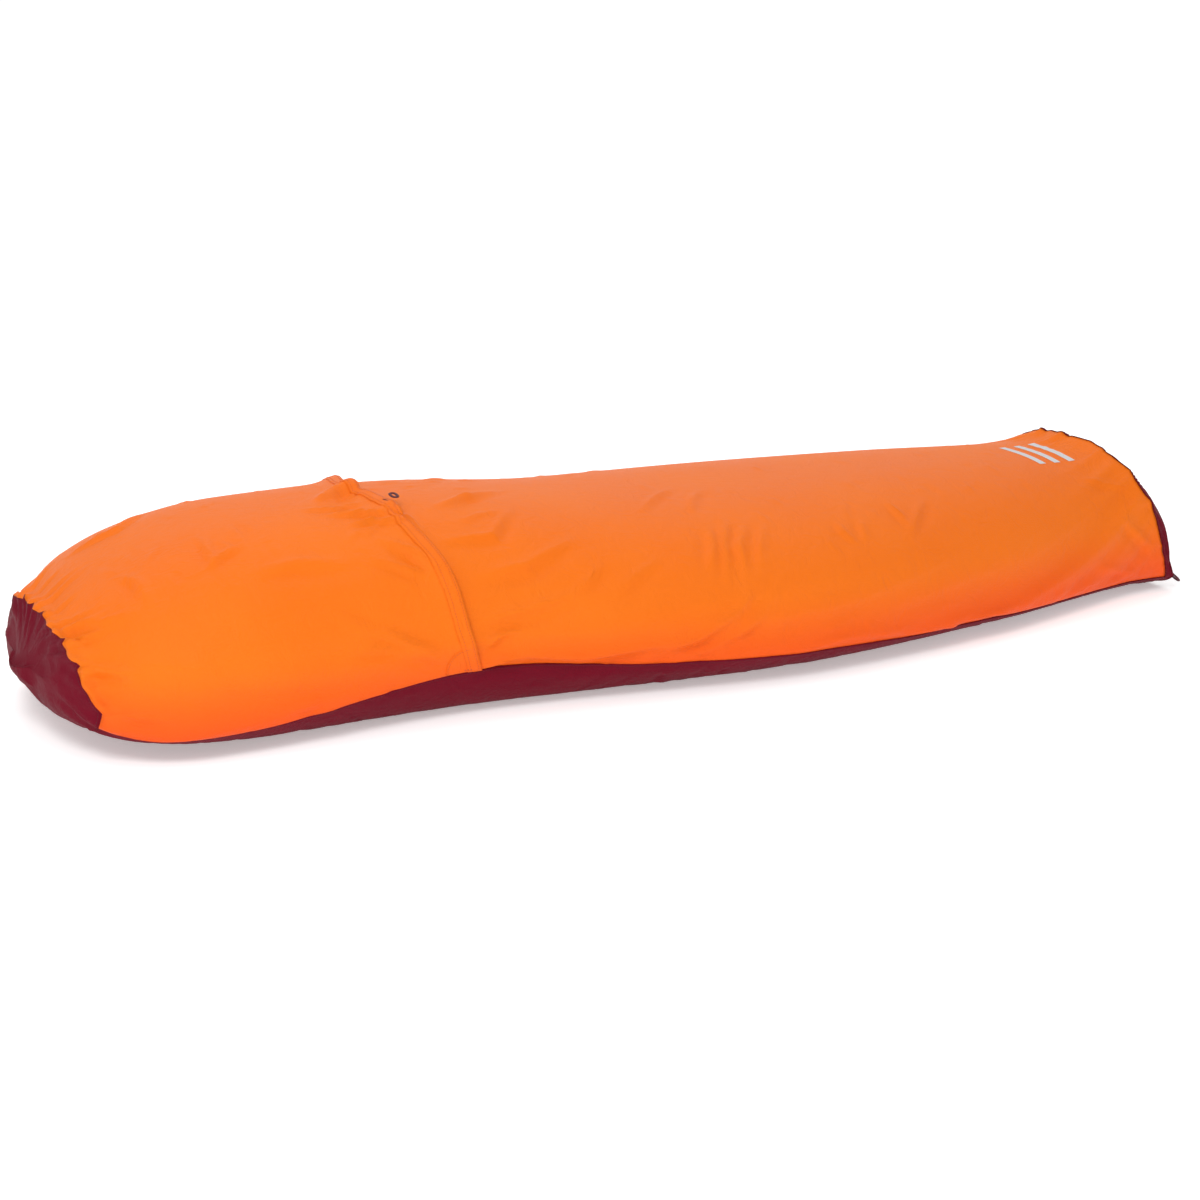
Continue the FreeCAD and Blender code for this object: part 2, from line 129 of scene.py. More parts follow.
# The grid of the cloth: rows along the sack, columns round it.
NOSE_RINGS, CAP_ROWS, HOOD_ROWS, BODY_ROWS, FOOT_ROWS, FOOT_RINGS = 8, 15, 88, 214, 14, 14
UNDER_COLUMNS, TOP_COLUMNS = 56, 140
ROW_STEP = 0.0065

CAP_ROW = NOSE_RINGS + CAP_ROWS
HEM_ROW = CAP_ROW + HOOD_ROWS
SEAM_ROW = HEM_ROW + BODY_ROWS
LAST_ROW = SEAM_ROW + FOOT_ROWS + FOOT_RINGS
RIGHT_SEAM = UNDER_COLUMNS
LEFT_SEAM = UNDER_COLUMNS + TOP_COLUMNS
LAST_COLUMN = LEFT_SEAM + UNDER_COLUMNS

# Folds in the top cloth: places along each as x and the share of the way over from the right seam
# to the left one, then its width and height.
FOLD_RISE = 1.5
HOOD_FOLDS = (
    (((-0.99, 0.17), (-0.95, 0.17), (-0.91, 0.15)), 0.009, 0.0075),
    (((-0.99, 0.34), (-0.94, 0.29), (-0.90, 0.28)), 0.007, 0.0040),
    (((-0.95, 0.06), (-0.91, 0.07), (-0.86, 0.06)), 0.007, 0.0040),
    (((-0.89, 0.39), (-0.88, 0.34), (-0.88, 0.28)), 0.007, 0.0035),
    (((-0.73, 0.27), (-0.66, 0.27), (-0.58, 0.25)), 0.010, 0.0040),
    (((-0.79, 0.31), (-0.76, 0.33), (-0.72, 0.34)), 0.006, 0.0035),
    (((-0.77, 0.41), (-0.77, 0.35), (-0.77, 0.29)), 0.006, 0.0030),
    (((-0.58, 0.14), (-0.52, 0.09), (-0.45, 0.03)), 0.008, 0.0060),
    (((-0.61, 0.11), (-0.55, 0.09), (-0.49, 0.05)), 0.006, 0.0040),
    (((-0.62, 0.18), (-0.56, 0.13), (-0.50, 0.09)), 0.008, -0.0030),
    (((-0.92, 0.62), (-0.84, 0.60), (-0.78, 0.66)), 0.008, 0.0040),
    (((-0.70, 0.72), (-0.60, 0.78), (-0.50, 0.90)), 0.009, 0.0050),
)
HEM_FOLDS = (
    (((-0.56, 0.46), (-0.52, 0.50), (-0.46, 0.52)), 0.013, 0.0080),
    (((-0.57, 0.39), (-0.52, 0.38), (-0.47, 0.36)), 0.006, 0.0050),
    (((-0.55, 0.34), (-0.51, 0.34), (-0.46, 0.33)), 0.005, 0.0045),
    (((-0.47, 0.38), (-0.45, 0.34), (-0.44, 0.28)), 0.006, 0.0045),
    (((-0.52, 0.29), (-0.48, 0.25), (-0.45, 0.20)), 0.007, 0.0045),
    (((-0.54, 0.25), (-0.50, 0.22), (-0.46, 0.19)), 0.006, 0.0040),
    (((-0.60, 0.43), (-0.55, 0.41), (-0.50, 0.42)), 0.006, 0.0035),
)
BODY_FOLDS = (
    (((-0.40, 0.01), (-0.37, 0.02), (-0.34, 0.03)), 0.006, 0.0050),
    (((-0.40, 0.05), (-0.37, 0.08), (-0.33, 0.09)), 0.007, 0.0045),
    (((-0.40, 0.11), (-0.33, 0.12), (-0.22, 0.16)), 0.009, 0.0050),
    (((-0.39, 0.19), (-0.31, 0.21), (-0.20, 0.27)), 0.010, 0.0050),
    (((-0.43, 0.27), (-0.34, 0.28), (-0.27, 0.37)), 0.009, 0.0045),
    (((-0.40, 0.38), (-0.33, 0.42), (-0.25, 0.48)), 0.009, 0.0045),
    (((-0.24, 0.16), (-0.21, 0.18), (-0.18, 0.21)), 0.007, 0.0035),
    (((-0.18, 0.15), (-0.14, 0.18), (-0.09, 0.21)), 0.007, 0.0035),
    (((0.03, 0.27), (0.01, 0.22), (-0.01, 0.17)), 0.008, 0.0042),
    (((0.07, 0.29), (0.04, 0.23), (0.01, 0.16)), 0.007, 0.0042),
    (((0.10, 0.28), (0.06, 0.22), (0.04, 0.16)), 0.008, 0.0042),
    (((0.13, 0.27), (0.10, 0.22), (0.07, 0.17)), 0.007, 0.0035),
    (((0.03, 0.33), (0.06, 0.38), (0.10, 0.43)), 0.008, 0.0030),
    (((-0.06, 0.34), (0.00, 0.40), (0.06, 0.45)), 0.008, 0.0030),
    (((0.26, 0.26), (0.26, 0.23), (0.27, 0.20)), 0.006, 0.0030),
    (((0.31, 0.25), (0.30, 0.23), (0.29, 0.20)), 0.006, 0.0030),
    (((0.38, 0.20), (0.42, 0.24), (0.47, 0.29)), 0.007, 0.0035),
    (((0.39, 0.30), (0.39, 0.26), (0.39, 0.22)), 0.006, 0.0030),
    (((0.89, 0.17), (0.93, 0.12), (0.97, 0.07)), 0.008, 0.0035),
    (((0.80, 0.08), (0.87, 0.05), (0.94, 0.02)), 0.008, 0.0030),
    (((0.84, 0.30), (0.88, 0.27), (0.93, 0.24)), 0.007, 0.0025),
)
SEAM_FOLDS = (
    (((-0.41, 0.01), (-0.33, 0.025), (-0.24, 0.02), (-0.15, 0.04), (-0.05, 0.06)), 0.010, 0.0075),
    (((-0.20, 0.01), (-0.13, 0.02), (-0.06, 0.05), (0.02, 0.10), (0.10, 0.19)), 0.009, 0.0045),
    (((-0.12, 0.01), (-0.06, 0.02), (0.02, 0.06), (0.09, 0.12)), 0.008, 0.0035),
    (((0.10, 0.01), (0.22, 0.025), (0.34, 0.02)), 0.008, 0.0035),
    (((0.36, 0.01), (0.47, 0.03), (0.60, 0.02)), 0.008, 0.0030),
)

# Patches of small crumples: middle, reach each way, lean in degrees, count, width, height and seed.
CRUMPLES = (
    ((-0.50, -0.06, 0.31), (0.06, 0.13, 0.01), 60, 26, 0.006, 0.0034, 11),
    ((-0.34, -0.06, 0.30), (0.09, 0.15, 0.01), 35, 20, 0.006, 0.0026, 12),
    ((-0.80, 0.00, 0.30), (0.13, 0.20, 0.02), 80, 26, 0.006, 0.0026, 13),
    ((-0.45, 0.20, 0.22), (0.50, 0.10, 0.10), 40, 40, 0.007, 0.0030, 14),
    ((0.40, -0.10, 0.24), (0.55, 0.22, 0.05), 75, 46, 0.007, 0.0018, 15),
    ((0.05, -0.33, 0.05), (0.85, 0.06, 0.03), 40, 44, 0.007, 0.0026, 16),
    ((0.05, 0.33, 0.08), (0.85, 0.06, 0.06), 40, 44, 0.007, 0.0026, 17),
)

# The simulated cloth: frames run, farthest move, cloth to spare as negative shrink, and pressure.
SIM_FRAMES = 22
MOST_MOVE = 0.016
SPARE_CLOTH = (-0.004, -0.045)
INSIDE_PRESSURE = 0.35
SEED = 7


# ---------------------------------------------------------------- shape of the filled sack

def along(stations, x):
    """Value at x on a smooth curve through (x, value) stations, held level past both ends."""
    places = np.array([s[0] for s in stations])
    values = np.array([s[1] for s in stations])
    slopes = np.zeros(len(stations))
    slopes[1:-1] = (values[2:] - values[:-2]) / (places[2:] - places[:-2])
    x = np.clip(x, places[0], places[-1])
    i = np.clip(np.searchsorted(places, x, side="right") - 1, 0, len(stations) - 2)
    step = places[i + 1] - places[i]
    t = (x - places[i]) / step
    rise = 3 * t**2 - 2 * t**3
    bend = (t**3 - 2 * t**2 + t) * step * slopes[i] + (t**3 - t**2) * step * slopes[i + 1]
    return values[i] + (values[i + 1] - values[i]) * rise + bend


def rounded(distance, length, least):
    """Share of full size at a distance from an end that rounds off over a length."""
    u = np.clip(distance / length, 0, 1)
    return least + (1 - least) * np.sqrt(1 - (1 - u) ** 2)


def levels(x):
    """Heights of the underside, the widest line and the top of the section at x."""
    dome = rounded(x - HEAD_END, HEAD_DOME, DOME_SHARE) * rounded(FOOT_END - x, FOOT_ROUND, FOOT_SHARE)
    top = along(HEIGHTS, x) * dome
    underside = NOSE_LIFT * (1 - rounded(x - HEAD_END, HEAD_DOME, 0))
    return underside, underside + WIDEST_SHARE * (top - underside), top


def section(x, turn):
    """y and z of the section at x: turn 0 is the right widest line, a half turn the left one."""
    underside, widest, top = levels(x)
    c, s = np.cos(turn), np.sin(turn)
    power = np.where(s >= 0, UPPER_POWER, LOWER_POWER)
    rise = np.where(s >= 0, top - widest, widest - underside)
    width = along(WIDTHS, x) * rounded(x - HEAD_END, HEAD_ROUND, NOSE_SHARE)
    y = -width * np.sign(c) * np.abs(c) ** power
    return y, widest + rise * np.sign(s) * np.abs(s) ** power


def seam_turn(x):
    """Turn at which the right side seam lies in the section at x."""
    underside, widest, top = levels(x)
    share = (widest - along(SEAM, x)) / (widest - underside)
    if share >= 0:
        return -math.asin(min(1, share ** (1 / LOWER_POWER)))
    return math.asin(((along(SEAM, x) - widest) / (top - widest)) ** (1 / UPPER_POWER))


def leaning_line(start, lean, turns):
    """Points where the skin meets a plane that leans along X, at the given turns."""
    low = np.full(len(turns), max(HEAD_END, start + lean * HOOD_HEIGHT * 1.1))
    high = np.full(len(turns), start)
    for _ in range(30):
        x = (low + high) / 2
        past = x - start - lean * section(x, turns)[1] > 0
        high = np.where(past, x, high)
        low = np.where(past, low, x)
    y, z = section(x, turns)
    return np.stack([x, y, z], axis=1)


def evenly(points, count):
    """The same line with count + 1 points, evenly spaced along it."""
    run = np.concatenate([[0], np.cumsum(np.linalg.norm(np.diff(points, axis=0), axis=1))])
    at = np.linspace(0, run[-1], count + 1)
    return np.stack([np.interp(at, run, points[:, k]) for k in range(3)], axis=1)


def skin_row(start, lean):
    """One row right round the sack, from the middle of the floor, up the right side and over."""
    x = start
    for _ in range(8):
        x = start + lean * along(SEAM, x)
    low = seam_turn(x)
    middle = -math.pi / 2
    right = evenly(leaning_line(start, lean, np.linspace(middle, low, 160)), UNDER_COLUMNS)
    over = evenly(leaning_line(start, lean, np.linspace(low, math.pi - low, 400)), TOP_COLUMNS)
    left = evenly(leaning_line(start, lean, np.linspace(-math.pi - low, middle, 160)), UNDER_COLUMNS)
    return np.concatenate([right, over[1:], left[1:]])


def between(first, last, count, ease=1.0):
    """Rows from one leaning line to the next, without the last."""
    shares = (np.arange(count) / count) ** ease
    return [[first[k] + (last[k] - first[k]) * t for k in range(2)] for t in shares]


def end_rings(rim, count, bulge):
    """Rings that close an end from near its middle out to its rim, without the rim itself."""
    middle = rim.mean(axis=0)
    shares = (np.arange(count) + 0.15) / count
    rings = [middle + (rim - middle) * share for share in shares]
    for ring, share in zip(rings, shares):
        ring[:, 0] += bulge * (1 - share**2)
    return rings


def filled_skin():
    """The smooth skin of the filled sack as a grid of points."""
    nose, tail = (HEAD_END, 0.0), (FOOT_END - 0.0005, 0.0)
    lines = between(nose, CAP_SEAM, CAP_ROWS, 1.3)
    lines += between(CAP_SEAM, HEM_EDGE, HOOD_ROWS)
    lines += between(HEM_EDGE, FOOT_SEAM, BODY_ROWS)
    lines += between(FOOT_SEAM, tail, FOOT_ROWS)
    rows = [skin_row(*line) for line in lines]
    tail_row = skin_row(*tail)
    rows = end_rings(rows[0], NOSE_RINGS, -0.017) + rows + [tail_row]
    rows += end_rings(tail_row, FOOT_RINGS, 0.008)[::-1]
    return np.array(rows)


# ---------------------------------------------------------------- working on the grid

def outward(grid):
    """Unit normals of a grid of points, pointing out of the sack."""
    along_rows = np.gradient(grid, axis=0)
    round_sack = np.gradient(grid, axis=1)
    normals = np.cross(along_rows, round_sack)
    return normals / np.maximum(np.linalg.norm(normals, axis=2, keepdims=True), 1e-12)


def sample(grid, rows, columns):
    """Points of a grid at fractional rows and columns."""
    rows = np.clip(rows, 0, grid.shape[0] - 1.001)
    columns = np.clip(columns, 0, grid.shape[1] - 1.001)
    i, j = rows.astype(int), columns.astype(int)
    u, v = (rows - i)[..., None], (columns - j)[..., None]
    near = grid[i, j] * (1 - v) + grid[i, j + 1] * v
    far = grid[i + 1, j] * (1 - v) + grid[i + 1, j + 1] * v
    return near * (1 - u) + far * u


def block(rows, columns):
    """Fractional rows and columns of a rectangular block."""
    return np.meshgrid(rows, columns, indexing="ij")


def smooth_step(low, high, value):
    t = np.clip((value - low) / (high - low), 0, 1)
    return t * t * (3 - 2 * t)


# ---------------------------------------------------------------- gathers, folds and the hanging of the cloth

def scallops(columns, count, start):
    """Wavy line round the sack, from 0 at a gather to 1 between two of them."""
    turn = columns / LAST_COLUMN * count + start
    wobble = 0.22 * np.sin(columns * 0.13 + start * 5) + 0.15 * np.sin(columns * 0.047 + start)
    return np.abs(np.sin(math.pi * (turn + wobble))) ** 0.7


def slid(grid, row, reach, rows_moved):
    """The grid with the rows near one row slid along the cloth by a number of rows at each column."""
    rows, columns = block(np.arange(grid.shape[0]), np.arange(grid.shape[1]))
    near = np.clip(1 - np.abs(rows - row) / reach, 0, 1)
    near = near * near * (3 - 2 * near)
    return sample(grid, rows - near * rows_moved[None, :], columns.astype(float))


def folded(grid, normals, folds):
    """The grid pushed out along each fold: a ridge with a valley beside it, fading at its ends."""
    out = np.zeros(grid.shape[:2])
    for path, width, height in folds:
        path = np.array(path)
        reach = width * 3.2
        low, high = path.min(axis=0) - reach, path.max(axis=0) + reach
        near = np.all((grid > low) & (grid < high), axis=2)
        points = grid[near]
        if not len(points):
            continue
        best = np.full(len(points), 1e9)
        share = np.zeros(len(points))
        side = np.zeros(len(points))
        total = len(path) - 1
        for k in range(total):
            run = path[k + 1] - path[k]
            t = np.clip((points - path[k]) @ run / (run @ run), 0, 1)
            offset = points - path[k] - t[:, None] * run
            gap = np.linalg.norm(offset, axis=1)
            across = np.cross(run / np.linalg.norm(run), normals[near])
            closer = gap < best
            best = np.where(closer, gap, best)
            share = np.where(closer, (k + t) / total, share)
            side = np.where(closer, np.einsum("ij,ij->i", offset, across), side)
        fade = np.clip(np.sin(math.pi * np.clip(share, 0.02, 0.98)), 0, 1) ** 0.8
        ridge = np.exp(-((side / width) ** 2)) - 0.55 * np.exp(-(((side - 1.7 * width) / (1.2 * width)) ** 2))
        beyond = np.exp(-((np.maximum(best - np.abs(side), 0) / width) ** 2))
        out[near] += height * fade * ridge * beyond
    return grid + normals * out[..., None]


def on_skin(grid, x, share):
    """The place on the top cloth at x, a share of the way over from the right seam to the left one."""
    line = grid[:, RIGHT_SEAM + int(round(share * TOP_COLUMNS))]
    return line[np.argmin(np.abs(line[:, 0] - x))]


def crumple(grid, centre, size, lean, count, width, height, seed):
    """Small folds scattered round a place, most of them leaning one way along X and Y."""
    dice = random.Random(seed)
    top = grid.reshape(-1, 3)
    folds = []
    for _ in range(count):
        x = centre[0] + dice.uniform(-1, 1) * size[0]
        y = centre[1] + dice.uniform(-1, 1) * size[1]
        z = centre[2] + dice.uniform(-1, 1) * size[2]
        turn = math.radians(lean + dice.uniform(-28, 28))
        half = dice.uniform(0.012, 0.032)
        step = np.array([math.cos(turn) * half, math.sin(turn) * half, 0])
        ends = []
        for way in (-1, 0, 1):
            spot = np.array([x, y, z]) + step * way
            ends.append(top[np.argmin(((top - spot) ** 2).sum(axis=1))])
        folds.append((ends, width * dice.uniform(0.7, 1.3), height * dice.uniform(-0.7, 1.2)))
    return folds


def hung(grid):
    """The grid as cloth with a little to spare, pressed out from inside and held along its seams."""
    rows, columns = block(np.arange(LAST_ROW + 1), np.arange(LAST_COLUMN + 1))
    form = grid_piece("filled_form", grid)
    held = np.zeros(rows.shape)
    for column in (RIGHT_SEAM, LEFT_SEAM):
        held = np.maximum(held, np.abs(columns - column) < 0.5)
    for row in (CAP_ROW, SEAM_ROW):
        held = np.maximum(held, np.abs(rows - row) < 0.5)
    held = np.maximum(held, grid[..., 2] < 0.006)
    held = np.maximum(held, (columns == 0) | (columns == LAST_COLUMN) | (rows == 0) | (rows == LAST_ROW))
    near_cap = np.exp(-((rows - CAP_ROW) / 9.0) ** 2)
    near_foot = np.exp(-((rows - SEAM_ROW) / 8.0) ** 2)
    near_hem = 0.5 * np.exp(-((rows - HEM_ROW) / 9.0) ** 2)
    spare = 0.25 + 0.75 * np.clip(near_cap + near_foot + near_hem, 0, 1)
    for name, weights in (("held", held), ("spare", spare)):
        group = form.vertex_groups.new(name=name)
        levels_of = np.round(weights.reshape(-1) * 8) / 8
        for level in np.unique(levels_of):
            if level > 0:
                group.add([int(i) for i in np.nonzero(levels_of == level)[0]], float(level), "REPLACE")
    cloth = form.modifiers.new("cloth", "CLOTH")
    settings = cloth.settings
    settings.quality = 5
    settings.mass = 0.12
    settings.tension_stiffness = 12
    settings.compression_stiffness = 12
    settings.shear_stiffness = 4
    settings.bending_stiffness = 0.05
    settings.air_damping = 3
    settings.vertex_group_mass = "held"
    settings.pin_stiffness = 1
    settings.vertex_group_shrink = "spare"
    settings.shrink_min, settings.shrink_max = SPARE_CLOTH
    settings.use_pressure = True
    settings.uniform_pressure_force = INSIDE_PRESSURE
    settings.effector_weights.gravity = 0.2
    cloth.point_cache.frame_start = 1
    cloth.point_cache.frame_end = SIM_FRAMES
    for frame_number in range(1, SIM_FRAMES + 1):
        bpy.context.scene.frame_set(frame_number)
    shaped = form.evaluated_get(bpy.context.evaluated_depsgraph_get()).data
    moved = np.zeros(grid.size, np.float32)
    shaped.vertices.foreach_get("co", moved)
    bpy.data.objects.remove(form)
    bpy.context.scene.frame_set(1)
    move = moved.reshape(grid.shape).astype(float) - grid
    size = np.linalg.norm(move, axis=2, keepdims=True)
    from_seam = np.minimum(np.abs(columns - RIGHT_SEAM), np.abs(columns - LEFT_SEAM)) * ROW_STEP
    most = np.minimum(MOST_MOVE, 0.0015 + 0.22 * from_seam)[..., None]
    move *= most * np.tanh(size / most) / np.maximum(size, 1e-9)
    hanging = grid + move
    hanging[..., 2] = np.maximum(hanging[..., 2], 0.0)
    return hanging


# ---------------------------------------------------------------- making pieces

def grid_piece(name, grid):
    """A grid primitive shaped to a block of points, facing outwards, with its flat cloth as UVs."""
    rows, columns = grid.shape[:2]
    bpy.ops.object.select_all(action="DESELECT")
    bpy.ops.mesh.primitive_grid_add(
        x_subdivisions=columns - 1, y_subdivisions=rows - 1, size=1, location=(0, 0, 0)
    )
    piece = bpy.context.object
    piece.name = piece.data.name = name
    piece.data.vertices.foreach_set("co", grid.reshape(-1).astype(np.float32))
    piece.data.flip_normals()
    piece.data.polygons.foreach_set("use_smooth", [True] * len(piece.data.polygons))
    across = np.linalg.norm(np.diff(grid, axis=1), axis=2)
    across = np.concatenate([np.zeros((rows, 1)), np.cumsum(across, axis=1)], axis=1)
    across -= across[:, columns // 2, None]
    down = np.linalg.norm(np.diff(grid, axis=0), axis=2).mean(axis=1)
    down = np.concatenate([[0], np.cumsum(down)])[:, None] * np.ones((1, columns))
    flat = np.stack([across, down], axis=2).reshape(-1, 2)
    corners = np.zeros(len(piece.data.loops), np.int32)
    piece.data.loops.foreach_get("vertex_index", corners)
    piece.data.uv_layers[0].data.foreach_set("uv", flat[corners].reshape(-1).astype(np.float32))
    piece.data.update()
    return piece


def select_only(piece):
    bpy.ops.object.select_all(action="DESELECT")
    piece.select_set(True)
    bpy.context.view_layer.objects.active = piece


def apply_all(piece):
    """Apply every modifier of a piece."""
    select_only(piece)
    for modifier in list(piece.modifiers):
        bpy.ops.object.modifier_apply(modifier=modifier.name)


def thicken(piece, thickness, bevel=0.0):
    """Give a sheet its thickness inwards, and close any doubled points first."""
    select_only(piece)
    bpy.ops.object.mode_set(mode="EDIT")
    bpy.ops.mesh.select_all(action="SELECT")
    bpy.ops.mesh.remove_doubles(threshold=0.00005)
    bpy.ops.object.mode_set(mode="OBJECT")
    wall = piece.modifiers.new("wall", "SOLIDIFY")
    wall.thickness = thickness
    wall.offset = -1
    if bevel:
        edge = piece.modifiers.new("edge", "BEVEL")
        edge.width = bevel
        edge.segments = 2
        edge.limit_method = "ANGLE"
        edge.angle_limit = math.radians(60)
    apply_all(piece)


def finish_piece(piece, material, bodies="bag", nodes=()):
    """Give a piece its material, hide the parts it stands for, and attach it to the body it follows; hood and
    chest pieces only get their transform baked in.
    """
    piece.data.materials.clear()
    piece.data.materials.append(material)
    if nodes:
        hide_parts(*nodes)
    if bodies == "hood":
        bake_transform(piece)
    elif bodies == "chest":
        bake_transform(piece)
    else:
        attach(piece, bodies)
    return piece


def stitch_line(name, grid, normals, paths, lift):
    """Rows of small raised stitches along paths of fractional rows and columns."""
    bpy.ops.object.select_all(action="DESELECT")
    bpy.ops.mesh.primitive_uv_sphere_add(segments=6, ring_count=4, radius=0.5, location=(0, 0, 0))
    one = bpy.context.object
    shape = np.array([v.co[:] for v in one.data.vertices])
    shape = shape * np.array(STITCH)
    faces = [list(p.vertices) for p in one.data.polygons]
    bpy.data.objects.remove(one)
    stitches = []
    for rows, columns in paths:
        line = sample(grid, rows, columns)
        facing = sample(normals, rows, columns)
        run = np.concatenate([[0], np.cumsum(np.linalg.norm(np.diff(line, axis=0), axis=1))])
        at = np.arange(STITCH_PITCH / 2, run[-1], STITCH_PITCH)
        here, ahead, up = [
            np.stack([np.interp(d, run, values[:, k]) for k in range(3)], axis=1)
            for d, values in ((at, line), (at + 0.001, line), (at, facing))
        ]
        up /= np.linalg.norm(up, axis=1, keepdims=True)
        forward = ahead - here
        forward -= up * np.sum(forward * up, axis=1, keepdims=True)
        forward /= np.maximum(np.linalg.norm(forward, axis=1, keepdims=True), 1e-9)
        frames = np.stack([forward, np.cross(up, forward), up], axis=1)
        stitches.append(here[:, None] + up[:, None] * lift + shape[None] @ frames)
    stitches = np.concatenate(stitches)
    points = stitches.reshape(-1, 3)
    polygons = [[k * len(shape) + i for i in face] for k in range(len(stitches)) for face in faces]
    mesh = bpy.data.meshes.new(name)
    mesh.from_pydata(points.tolist(), [], polygons)
    mesh.polygons.foreach_set("use_smooth", [True] * len(mesh.polygons))
    piece = bpy.data.objects.new(name, mesh)
    bpy.context.scene.collection.objects.link(piece)
    return piece


def strip(name, grid, normals, rows, columns, lift, thickness):
    """A strip of cloth over a block of fractional rows and columns, lifted off the grid."""
    at = block(rows, columns)
    piece = grid_piece(name, sample(grid, *at) + sample(normals, *at) * lift)
    thicken(piece, thickness)
    return piece


# ---------------------------------------------------------------- materials

def group_with(name, inputs, outputs):
    """An empty node group with named float inputs and outputs."""
    group = bpy.data.node_groups.new(name, "ShaderNodeTree")
    for label, value in inputs:
        socket = group.interface.new_socket(label, in_out="INPUT", socket_type="NodeSocketFloat")
        socket.default_value = value
    for label in outputs:
        group.interface.new_socket(label, in_out="OUTPUT", socket_type="NodeSocketFloat")
    return group, group.nodes.new("NodeGroupInput"), group.nodes.new("NodeGroupOutput")


def math_node(tree, operation, *values):
    node = tree.nodes.new("ShaderNodeMath")
    node.operation = operation
    for k, value in enumerate(values):
        if isinstance(value, (int, float)):
            node.inputs[k].default_value = value
        else:
            tree.links.new(value, node.inputs[k])
    return node.outputs[0]


def cloth_texture():
    """Shared cloth surface: fine threads, a ripstop grid and soft creases, as a height and a mask."""
    group, given, result = group_with(
        "cloth_texture",
        (("Threads per metre", 900.0), ("Ripstop per metre", 190.0), ("Crease scale", 38.0)),
        ("Height", "Creases", "Patches"),
    )
    tree = group
    place = tree.nodes.new("ShaderNodeUVMap").outputs[0]
    solid = tree.nodes.new("ShaderNodeTexCoord").outputs["Object"]
    split = tree.nodes.new("ShaderNodeSeparateXYZ")
    tree.links.new(place, split.inputs[0])
    heights = []
    for axis in (0, 1):
        turns = math_node(tree, "MULTIPLY", split.outputs[axis], given.outputs["Ripstop per metre"])
        saw = math_node(tree, "ABSOLUTE", math_node(tree, "SUBTRACT", math_node(tree, "FRACT", turns), 0.5))
        heights.append(math_node(tree, "GREATER_THAN", saw, 0.44))
    ripstop = math_node(tree, "MAXIMUM", *heights)
    threads = []
    for axis in (0, 1):
        turns = math_node(tree, "MULTIPLY", split.outputs[axis], given.outputs["Threads per metre"])
        threads.append(math_node(tree, "SINE", math_node(tree, "MULTIPLY", turns, 2 * math.pi)))
    weave = math_node(tree, "MULTIPLY", *threads)
    crease = tree.nodes.new("ShaderNodeTexNoise")
    crease.inputs["Detail"].default_value = 5
    crease.inputs["Roughness"].default_value = 0.55
    crease.inputs["Distortion"].default_value = 0.8
    tree.links.new(solid, crease.inputs["Vector"])
    tree.links.new(given.outputs["Crease scale"], crease.inputs["Scale"])
    folded_noise = math_node(tree, "ABSOLUTE", math_node(tree, "SUBTRACT", crease.outputs["Fac"], 0.5))
    patches = tree.nodes.new("ShaderNodeTexNoise")
    patches.inputs["Scale"].default_value = 5
    tree.links.new(solid, patches.inputs["Vector"])
    threads_high = math_node(tree, "MULTIPLY", weave, 0.06)
    ripstop_high = math_node(tree, "MULTIPLY", ripstop, 0.10)
    height = math_node(tree, "ADD", threads_high, ripstop_high)
    height = math_node(tree, "ADD", height, math_node(tree, "MULTIPLY", folded_noise, -4.0))
    tree.links.new(height, result.inputs["Height"])
    tree.links.new(folded_noise, result.inputs["Creases"])
    tree.links.new(patches.outputs["Fac"], result.inputs["Patches"])
    return group


def cloth_material(name, colours, roughness, texture, bump, crease_scale, painted_shade_colour=None, shine=0.11):
    """Woven cloth: a colour that varies softly, with the shared cloth surface on it, and, where a low colour
    is given, painted shade that turns it redder towards the ground.
    """
    material = bpy.data.materials.new(name)
    material.use_nodes = True
    tree = material.node_tree
    shader = tree.nodes["Principled BSDF"]
    surface = tree.nodes.new("ShaderNodeGroup")
    surface.node_tree = texture
    surface.inputs["Crease scale"].default_value = crease_scale
    tint = tree.nodes.new("ShaderNodeMix")
    tint.data_type = "RGBA"
    tint.inputs["A"].default_value = (*colours[0], 1)
    tint.inputs["B"].default_value = (*colours[1], 1)
    tree.links.new(surface.outputs["Patches"], tint.inputs["Factor"])
    colour = tint.outputs["Result"]
    # Painted shade: from 0.15 m down to 0.03 m the colour fades to a redder one, standing in for red light
    # from the floor cloth.
    if painted_shade_colour:
        height = tree.nodes.new("ShaderNodeSeparateXYZ")
        tree.links.new(tree.nodes.new("ShaderNodeTexCoord").outputs["Object"], height.inputs[0])
        share = tree.nodes.new("ShaderNodeMapRange")
        share.interpolation_type = "SMOOTHSTEP"
        for label, value in (("From Min", 0.03), ("From Max", 0.15), ("To Min", 1.0), ("To Max", 0.0)):
            share.inputs[label].default_value = value
        tree.links.new(height.outputs["Z"], share.inputs["Value"])
        painted_shade_mix = tree.nodes.new("ShaderNodeMix")
        painted_shade_mix.data_type = "RGBA"
        painted_shade_mix.inputs["B"].default_value = (*painted_shade_colour, 1)
        tree.links.new(share.outputs["Result"], painted_shade_mix.inputs["Factor"])
        tree.links.new(colour, painted_shade_mix.inputs["A"])
        colour = painted_shade_mix.outputs["Result"]
    tree.links.new(colour, shader.inputs["Base Color"])
    rough = tree.nodes.new("ShaderNodeMapRange")
    rough.inputs["To Min"].default_value = roughness - 0.05
    rough.inputs["To Max"].default_value = roughness + 0.06
    tree.links.new(surface.outputs["Patches"], rough.inputs["Value"])
    tree.links.new(rough.outputs["Result"], shader.inputs["Roughness"])
    shader.inputs["Specular IOR Level"].default_value = shine
    relief = tree.nodes.new("ShaderNodeBump")
    relief.inputs["Strength"].default_value = bump
    relief.inputs["Distance"].default_value = 0.0012
    tree.links.new(surface.outputs["Height"], relief.inputs["Height"])
    tree.links.new(relief.outputs["Normal"], shader.inputs["Normal"])
    return material


